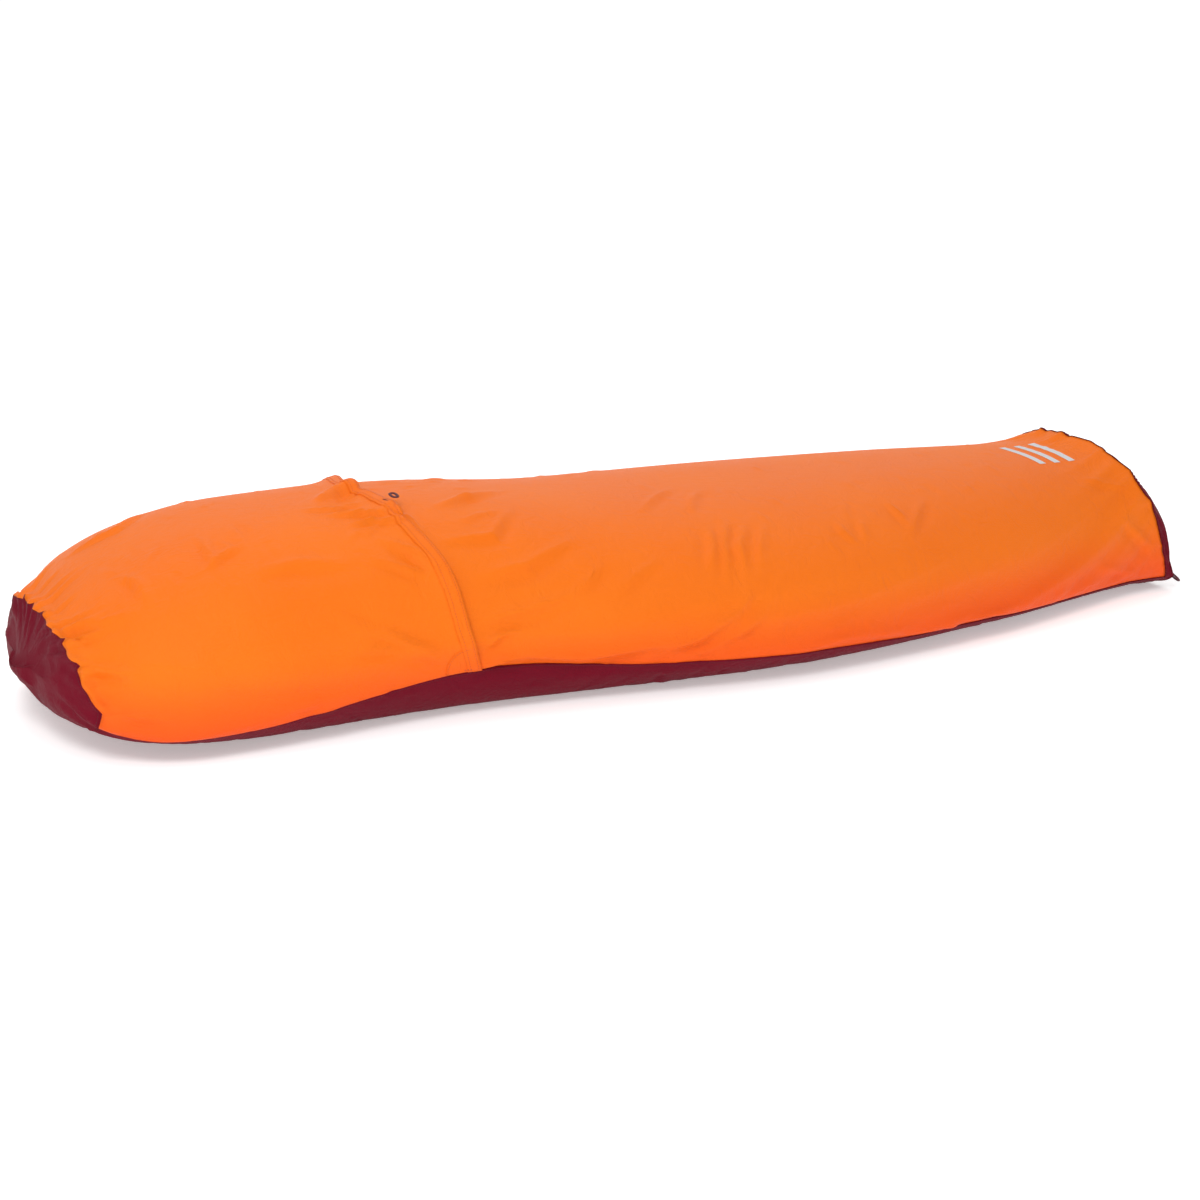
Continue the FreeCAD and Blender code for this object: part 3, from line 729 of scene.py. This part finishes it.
def plain_material(name, colour, roughness, metallic=0.0, grain=300.0, bump=0.15):
    """Simple finish with a fine grain, for thread, tape, webbing and print."""
    material = bpy.data.materials.new(name)
    material.use_nodes = True
    tree = material.node_tree
    shader = tree.nodes["Principled BSDF"]
    grains = tree.nodes.new("ShaderNodeTexNoise")
    grains.inputs["Scale"].default_value = grain
    tree.links.new(tree.nodes.new("ShaderNodeTexCoord").outputs["Object"], grains.inputs["Vector"])
    tint = tree.nodes.new("ShaderNodeMix")
    tint.data_type = "RGBA"
    tint.inputs["A"].default_value = (*[c * 0.82 for c in colour], 1)
    tint.inputs["B"].default_value = (*[min(1, c * 1.15) for c in colour], 1)
    tree.links.new(grains.outputs["Fac"], tint.inputs["Factor"])
    tree.links.new(tint.outputs["Result"], shader.inputs["Base Color"])
    shader.inputs["Roughness"].default_value = roughness
    shader.inputs["Metallic"].default_value = metallic
    relief = tree.nodes.new("ShaderNodeBump")
    relief.inputs["Strength"].default_value = bump
    relief.inputs["Distance"].default_value = 0.0004
    tree.links.new(grains.outputs["Fac"], relief.inputs["Height"])
    tree.links.new(relief.outputs["Normal"], shader.inputs["Normal"])
    return material


texture = cloth_texture()
# The orange and hem cloths carry painted shade: redder towards the ground, for red light from the floor
# cloth.
orange_cloth = cloth_material(
    "orange_cloth", ((0.83, 0.150, 0.005), (0.87, 0.180, 0.008)), 0.42, texture, 0.85, 26.0,
    painted_shade_colour=(0.86, 0.095, 0.009),
)
hem_cloth = cloth_material(
    "hem_cloth", ((0.83, 0.145, 0.005), (0.87, 0.175, 0.008)), 0.44, texture, 0.9, 42.0,
    painted_shade_colour=(0.86, 0.100, 0.009),
)
floor_cloth = cloth_material(
    "floor_cloth", ((0.130, 0.0030, 0.0130), (0.170, 0.0060, 0.0180)), 0.52, texture, 0.8, 36.0, shine=0.05
)
tape_finish = plain_material("seam_tape", (0.42, 0.42, 0.43), 0.45)
thread_finish = plain_material("orange_thread", (0.62, 0.090, 0.008), 0.6, grain=1500.0)
dark_thread_finish = plain_material("dark_thread", (0.09, 0.004, 0.012), 0.6, grain=1500.0)
webbing_finish = plain_material("webbing", (0.075, 0.004, 0.012), 0.65, grain=900.0, bump=0.5)
ink_finish = plain_material("print_ink", (0.60, 0.60, 0.61), 0.5)

# ---------------------------------------------------------------- the cloth of the sack

columns_round = np.arange(LAST_COLUMN + 1, dtype=float)
skin = filled_skin()
skin = slid(skin, CAP_ROW, 9, 1.9 * scallops(columns_round, 15, 0.35) - 1.1)
skin = slid(skin, SEAM_ROW, 7, 1.6 * scallops(columns_round, 13, 0.10) - 1.0)
hem_height = skin[HEM_ROW, :, 2]
crest_dip = np.exp(-(((skin[HEM_ROW, :, 1] - 0.03) / 0.075) ** 2)) * (hem_height > 0.2)
hem_wave = 2.9 * crest_dip - 1.7 * np.exp(-(((hem_height - 0.235) / 0.06) ** 2))
skin = slid(skin, HEM_ROW, 16, hem_wave)
skin = hung(skin)
normals = outward(skin)

# Folds that the whole skin shares, each along a few places on it.
GATHERS, FOOT_GATHERS = 15, 26
folds = []
dice = random.Random(SEED)
for k in range(GATHERS * 2):
    column = (k + 0.5 - 0.70 + dice.uniform(-0.25, 0.25)) * LAST_COLUMN / GATHERS / 2 % LAST_COLUMN
    ahead = dice.uniform(7, 16)
    behind = dice.uniform(8, 15)
    lean = dice.uniform(-3.5, 3.5)
    rows_at = np.array([CAP_ROW - behind, CAP_ROW, CAP_ROW + ahead])
    columns_at = np.clip(np.array([column - lean * 0.6, column, column + lean]), 0, LAST_COLUMN)
    width = dice.uniform(0.005, 0.009)
    height = dice.uniform(0.0022, 0.0050)
    folds.append((sample(skin, rows_at, columns_at), width, height))
for k in range(FOOT_GATHERS):
    column = dice.uniform(0, LAST_COLUMN)
    rows_at = np.array([SEAM_ROW - dice.uniform(6, 14), SEAM_ROW, SEAM_ROW + dice.uniform(5, 10)])
    columns_at = np.clip(column + np.array([dice.uniform(-3, 3), 0, dice.uniform(-3, 3)]), 0, LAST_COLUMN)
    width = dice.uniform(0.004, 0.007)
    height = dice.uniform(0.0015, 0.0035)
    folds.append((sample(skin, rows_at, columns_at), width, height))
for places, width, height in HOOD_FOLDS + HEM_FOLDS + BODY_FOLDS + SEAM_FOLDS:
    folds.append(([on_skin(skin, x, share) for x, share in places], width, height * FOLD_RISE))
for centre, size, lean, count, width, height, seed in CRUMPLES:
    folds += crumple(skin, centre, size, lean, count, width, height, seed)
shared = folded(skin, normals, folds)
shared[..., 2] = np.maximum(shared[..., 2], 0.0)
normals = outward(shared)

rows_grid, columns_grid = block(np.arange(LAST_ROW + 1), np.arange(LAST_COLUMN + 1))
from_side_seam = np.minimum(np.abs(columns_grid - RIGHT_SEAM), np.abs(columns_grid - LEFT_SEAM)) * ROW_STEP
from_foot_seam = np.abs(rows_grid - SEAM_ROW) * ROW_STEP

# The hood, standing off the body along its free edge, unevenly and more so above the side seams.
off_body = np.exp(-(((HEM_ROW - rows_grid) * ROW_STEP / 0.030) ** 2)) * (rows_grid <= HEM_ROW)
uneven = 1 + 0.35 * np.sin(columns_grid * 0.31)
off_body *= HEM_LIFT[0] + HEM_LIFT[1] * smooth_step(0.08, 0.20, shared[..., 2]) * uneven
off_body *= smooth_step(0.0, 0.05, from_side_seam)
hood_skin = shared + normals * off_body[..., None]
lapped = (columns_grid < RIGHT_SEAM) | (columns_grid > LEFT_SEAM)
body_depth = SEAM_DEPTH + (TUCK_DEPTH - SEAM_DEPTH) * np.where(
    lapped, 1.0, smooth_step(0.0, 0.04, np.minimum(from_side_seam, from_foot_seam))
)
body_skin = shared - normals * body_depth[..., None]
hood_normals, body_normals = outward(hood_skin), outward(body_skin)

top_columns = slice(RIGHT_SEAM, LEFT_SEAM + 1)
tuck_rows = int(TUCK / ROW_STEP)

hood = grid_piece("hood_cloth", hood_skin[CAP_ROW:HEM_ROW + 1, top_columns])
thicken(hood, CLOTH)
finish_piece(hood, orange_cloth, "hood", ("hood_panel", "hood_flap_panel"))

lap_columns = int(round(LAP / ROW_STEP))
body_columns = slice(RIGHT_SEAM - lap_columns, LEFT_SEAM + lap_columns + 1)
body = grid_piece("body_cloth", body_skin[HEM_ROW - tuck_rows:SEAM_ROW + 1, body_columns])
thicken(body, CLOTH)
finish_piece(body, orange_cloth, "chest", ("body_top_panel", "chest_flap_panel"))

floor_rows = shared[CAP_ROW:SEAM_ROW + 1]
floor_skin = np.concatenate([floor_rows[:, LEFT_SEAM:], floor_rows[:, 1:RIGHT_SEAM + 1]], axis=1)
floor = grid_piece("floor_cloth_panel", floor_skin)
thicken(floor, CLOTH)
finish_piece(floor, floor_cloth, "bag", ("floor_panel",))

head_cap = grid_piece("head_cap_cloth", shared[:CAP_ROW + 1])
thicken(head_cap, CLOTH)
finish_piece(head_cap, floor_cloth, "bag", ("head_end_panel",))

foot_cap = grid_piece("foot_end_cloth", shared[SEAM_ROW:])
thicken(foot_cap, CLOTH)
finish_piece(foot_cap, floor_cloth, "bag", ("foot_end_panel",))

# ---------------------------------------------------------------- hem, corners, tapes and stitches

round_top = np.arange(RIGHT_SEAM, LEFT_SEAM + 0.01, 1.0)
hem_rows_at = np.linspace(HEM_ROW - HEM_BAND / ROW_STEP, HEM_ROW + 0.12, 7)
hem = strip("hood_hem_cloth", hood_skin, hood_normals, hem_rows_at, round_top, 0.0011, 0.0009)
finish_piece(hem, hem_cloth, "hood", ("hood_hem", "hem_end_left", "hem_end_right"))

hem_paths = [(HEM_ROW - d / ROW_STEP + 0 * round_top, round_top) for d in HEM_ROWS]
hem_stitches = stitch_line("hem_stitches", hood_skin, hood_normals, hem_paths, 0.0013)
finish_piece(
    hem_stitches, thread_finish, "hood",
    ("hood_hem_stitching", "hem_end_stitching_left", "hem_end_stitching_right"),
)

for side, seam_column, way in (("right", RIGHT_SEAM, 1), ("left", LEFT_SEAM, -1)):
    rings = np.linspace(0.2, PATCH_RADIUS / ROW_STEP, 9)
    turns = np.linspace(0, math.pi / 2, 15)
    ring_at, turn_at = block(rings, turns)
    patch_rows = HEM_ROW - 0.3 - ring_at * np.cos(turn_at)
    patch_columns = seam_column + way * (0.2 + ring_at * np.sin(turn_at))
    patch_grid = sample(hood_skin, patch_rows, patch_columns)
    patch_grid = patch_grid + sample(hood_normals, patch_rows, patch_columns) * 0.0007
    patch = grid_piece("corner_patch_cloth_" + side, patch_grid if way < 0 else patch_grid[:, ::-1])
    thicken(patch, 0.0006)
    finish_piece(patch, hem_cloth, "bag", ("corner_patch_" + side,))
    arc = np.linspace(0.03, math.pi / 2 - 0.03, 40)
    radius = (PATCH_RADIUS - 0.003) / ROW_STEP
    arc_path = (HEM_ROW - 0.3 - radius * np.cos(arc), seam_column + way * (0.2 + radius * np.sin(arc)))
    tack_rows = HEM_ROW - np.array([2.2, 4.4])
    tacks = [(tack_rows, seam_column + way * (c + 0 * tack_rows)) for c in (0.9, 1.05, 1.2, 1.35)]
    corner = stitch_line("corner_stitches_" + side, hood_skin, hood_normals, [arc_path] + tacks, 0.0010)
    finish_piece(corner, thread_finish, "bag", ("corner_bartack_" + side,))

tuck_edge = HEM_ROW - tuck_rows
middle_columns = np.arange(RIGHT_SEAM + 3, LEFT_SEAM - 2, 1.0)
tuck_hem = strip(
    "tucked_hem_cloth", body_skin, body_normals,
    np.linspace(tuck_edge, tuck_edge + HEM_BAND / ROW_STEP, 6), middle_columns, -0.0014, 0.0008,
)
finish_piece(tuck_hem, hem_cloth, "chest", ("chest_flap_hem",))
tuck_paths = [(tuck_edge + d / ROW_STEP + 0 * middle_columns, middle_columns) for d in HEM_ROWS]
tuck_stitches = stitch_line("tucked_hem_stitches", body_skin, body_normals, tuck_paths, 0.0002)
finish_piece(tuck_stitches, thread_finish, "chest", ("chest_flap_stitching",))

half_tape = TAPE_WIDTH / ROW_STEP / 2
side_tape = half_tape * SIDE_TAPE_SHARE
body_rows = np.arange(tuck_edge + 5, SEAM_ROW - 1.0, 1.0)
hood_rows = np.arange(CAP_ROW + 2, tuck_edge - 1.0, 1.0)
for side, seam_column in (("right", RIGHT_SEAM), ("left", LEFT_SEAM)):
    tape_columns = np.linspace(seam_column - side_tape, seam_column + side_tape, 5)
    tape = strip("side_tape_" + side, shared, normals, body_rows, tape_columns, -0.0056, TAPE)
    finish_piece(tape, tape_finish, "bag", ("side_seam_tape_" + side,))
    tape = strip("hood_tape_" + side, shared, normals, hood_rows, tape_columns, -0.0030, TAPE)
    finish_piece(tape, tape_finish, "bag", ("hood_seam_tape_" + side,))
all_round = np.arange(0, LAST_COLUMN + 0.01, 1.0)
for name, row, depth, node in (
    ("head_tape", CAP_ROW, -0.0016, "head_seam_tape"), ("foot_tape", SEAM_ROW, -0.0040, "foot_seam_tape")
):
    tape_rows = np.linspace(row - half_tape, row + half_tape, 5)
    tape = strip(name, shared, normals, tape_rows, all_round, depth, TAPE)
    finish_piece(tape, tape_finish, "bag", (node,))

head_path = [(CAP_ROW - 0.55 + 0 * round_top, round_top)]
head_stitches = stitch_line("head_seam_stitches", shared, normals, head_path, 0.0002)
finish_piece(head_stitches, dark_thread_finish, "bag", ("head_seam_stitching",))
foot_path = [(SEAM_ROW + 0.55 + 0 * round_top, round_top)]
foot_stitches = stitch_line("foot_seam_stitches", shared, normals, foot_path, 0.0002)
finish_piece(foot_stitches, dark_thread_finish, "bag", ("foot_seam_stitching",))
seam_rows = np.arange(CAP_ROW + 1.0, SEAM_ROW - 1.0, 1.0)
for side, seam_column, way in (("right", RIGHT_SEAM, -1), ("left", LEFT_SEAM, 1)):
    side_path = [(seam_rows, seam_column + way * 0.6 + 0 * seam_rows)]
    row_of_thread = stitch_line("side_seam_stitches_" + side, shared, normals, side_path, 0.0002)
    finish_piece(row_of_thread, dark_thread_finish, "bag", ("side_seam_stitching_" + side,))

# ---------------------------------------------------------------- print, loops and tabs

print_low, print_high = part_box("print_mark")
BAR_COUNT, BAR_LENGTH, BAR_END_GAP = 3, 0.014, 0.014
bar_gap = (print_high.x - BAR_END_GAP - print_low.x - BAR_LENGTH * BAR_COUNT) / (BAR_COUNT - 1)
bars = []
for k in range(BAR_COUNT):
    x0 = print_low.x + k * (BAR_LENGTH + bar_gap)
    bpy.ops.object.select_all(action="DESELECT")
    bpy.ops.mesh.primitive_grid_add(x_subdivisions=6, y_subdivisions=48, size=1, location=(0, 0, 0))
    bar = bpy.context.object
    for vertex in bar.data.vertices:
        vertex.co.x = x0 + (vertex.co.x + 0.5) * BAR_LENGTH
        vertex.co.y = print_low.y + (vertex.co.y + 0.5) * (print_high.y - print_low.y)
        vertex.co.z = print_high.z + 0.05
    drape = bar.modifiers.new("drape", "SHRINKWRAP")
    drape.wrap_method = "PROJECT"
    drape.use_project_z = True
    drape.use_positive_direction = False
    drape.use_negative_direction = True
    drape.target = body
    drape.offset = 0.0003
    apply_all(bar)
    bars.append(bar)
bpy.ops.object.select_all(action="DESELECT")
for bar in bars:
    bar.select_set(True)
bpy.context.view_layer.objects.active = bars[0]
bpy.ops.object.join()
printed = bpy.context.object
printed.name = printed.data.name = "printed_bars"
printed.data.polygons.foreach_set("use_smooth", [True] * len(printed.data.polygons))
finish_piece(printed, ink_finish, "bag", ("print_mark",))


def loop_of(name, back, forward, across, length, width, radius, flat):
    """A sewn loop: a closed ring of cord or webbing that starts at its tab and reaches forward."""
    up = forward.cross(across).normalized()
    curve = bpy.data.curves.new(name, "CURVE")
    curve.dimensions = "3D"
    spline = curve.splines.new("NURBS")
    one_side = ((0.0, 0.30), (0.30, 0.46), (0.72, 0.50), (1.0, 0.26))
    places = [(reach, -aside) for reach, aside in one_side] + list(reversed(one_side))
    spline.points.add(len(places) - 1)
    for spot, (reach, aside) in zip(spline.points, places):
        spot.co = (*(back + forward * reach * length + across * aside * width), 1)
    spline.order_u = 3
    spline.use_cyclic_u = True
    spline.resolution_u = 8
    curve.bevel_depth = radius
    curve.bevel_resolution = 4
    cord = bpy.data.objects.new(name, curve)
    bpy.context.scene.collection.objects.link(cord)
    select_only(cord)
    bpy.ops.object.convert(target="MESH")
    cord = bpy.context.object
    centre = sum((v.co for v in cord.data.vertices), Vector()) / len(cord.data.vertices)
    for vertex in cord.data.vertices:
        height = (vertex.co - centre) @ up
        vertex.co -= up * height * (1 - flat)
    cord.data.polygons.foreach_set("use_smooth", [True] * len(cord.data.polygons))
    return cord


for joint in frame["joints"][2:]:
    low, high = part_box(joint["child"])
    back = Vector(joint["pos_m"])
    across = Vector(joint["axis"]) * -1
    if joint["child"] == "hang_loop":
        forward = across.cross(Vector((0, 0, 1))).normalized()
        ring = loop_of("hang_loop_webbing", back, forward, across, 0.0095, 0.018, 0.0026, 0.45)
    else:
        forward = Vector((high.x - back.x, 0, low.z - back.z)).normalized()
        ring = loop_of(joint["child"] + "_cord", back, forward, across, 0.027, 0.014, 0.0019, 1.0)
    finish_piece(ring, webbing_finish, joint["child"], (joint["child"],))

for side in ("left", "right"):
    low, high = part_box("foot_loop_tab_" + side)
    bpy.ops.object.select_all(action="DESELECT")
    bpy.ops.mesh.primitive_cube_add(size=1, location=(0, 0, 0))
    tab = bpy.context.object
    tab.name = tab.data.name = "foot_tab_" + side
    for vertex in tab.data.vertices:
        vertex.co = [(low[k] + high[k]) / 2 + vertex.co[k] * (high[k] - low[k]) for k in range(3)]
        vertex.co.x += -0.006 if vertex.co.x < (low.x + high.x) / 2 else 0
    edge = tab.modifiers.new("edge", "BEVEL")
    edge.width, edge.segments = 0.0011, 3
    apply_all(tab)
    finish_piece(tab, webbing_finish, "bag", ("foot_loop_tab_" + side,))

loop_back = Vector(frame["joints"][2]["pos_m"])
hang_row = HEM_ROW - 1.2
hang_column = RIGHT_SEAM + int(np.argmin(np.abs(hood_skin[HEM_ROW, RIGHT_SEAM:LEFT_SEAM, 1] - loop_back.y)))
tack_columns = hang_column + np.array([-1.4, 1.4])
hang_tacks = [(hang_row - d + 0 * tack_columns, tack_columns) for d in (0.0, 0.15, 0.3)]
hang_tack = stitch_line("hang_loop_tack", hood_skin, hood_normals, hang_tacks, 0.0015)
finish_piece(hang_tack, dark_thread_finish, "hood", ("hang_loop_bartack",))

# ---------------------------------------------------------------- floor, light and camera

bpy.ops.object.select_all(action="DESELECT")
bpy.ops.mesh.primitive_plane_add(size=200, location=(0, 0, -0.0006))
ground = bpy.context.object
ground.name = "ground"
white = bpy.data.materials.new("white_ground")
white.use_nodes = True
shader = white.node_tree.nodes["Principled BSDF"]
shader.inputs["Base Color"].default_value = (0.96, 0.96, 0.96, 1)
shader.inputs["Roughness"].default_value = 0.9
shader.inputs["Specular IOR Level"].default_value = 0.0
shader.inputs["Emission Color"].default_value = (1, 1, 1, 1)
shader.inputs["Emission Strength"].default_value = 0.36
ground.data.materials.append(white)
ground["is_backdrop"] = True

world = bpy.data.worlds.new("studio")
bpy.context.scene.world = world
world.use_nodes = True
world.node_tree.nodes["Background"].inputs["Color"].default_value = (1, 1, 1, 1)
world.node_tree.nodes["Background"].inputs["Strength"].default_value = 0.74


def soft_light(name, place, target, size, power):
    light = bpy.data.lights.new(name, "AREA")
    light.shape = "RECTANGLE"
    light.size, light.size_y = size
    light.energy = power
    lamp = bpy.data.objects.new(name, light)
    bpy.context.scene.collection.objects.link(lamp)
    lamp.location = place
    lamp.rotation_euler = (Vector(target) - Vector(place)).to_track_quat("-Z", "Y").to_euler()
    return lamp


soft_light("overhead", (0.3, 1.1, 2.3), (0, 0, 0.2), (3.4, 1.4), 16)
soft_light("key", (-1.9, -1.9, 2.4), (0.1, 0, 0.12), (1.0, 1.0), 41)

TARGET = Vector((-0.0486, 0.0, 0.0701))
AZIMUTH, ELEVATION, DISTANCE = math.radians(-28), math.radians(16), 3.813
back = Vector((
    math.sin(AZIMUTH) * math.cos(ELEVATION), -math.cos(AZIMUTH) * math.cos(ELEVATION), math.sin(ELEVATION)
))
camera_data = bpy.data.cameras.new("camera")
camera_data.lens = 68.0
camera = bpy.data.objects.new("camera", camera_data)
bpy.context.scene.collection.objects.link(camera)
camera.location = TARGET + back * DISTANCE
camera.rotation_euler = (-back).to_track_quat("-Z", "Y").to_euler()
bpy.context.scene.camera = camera

bpy.context.scene.view_settings.view_transform = "Standard"

low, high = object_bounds()
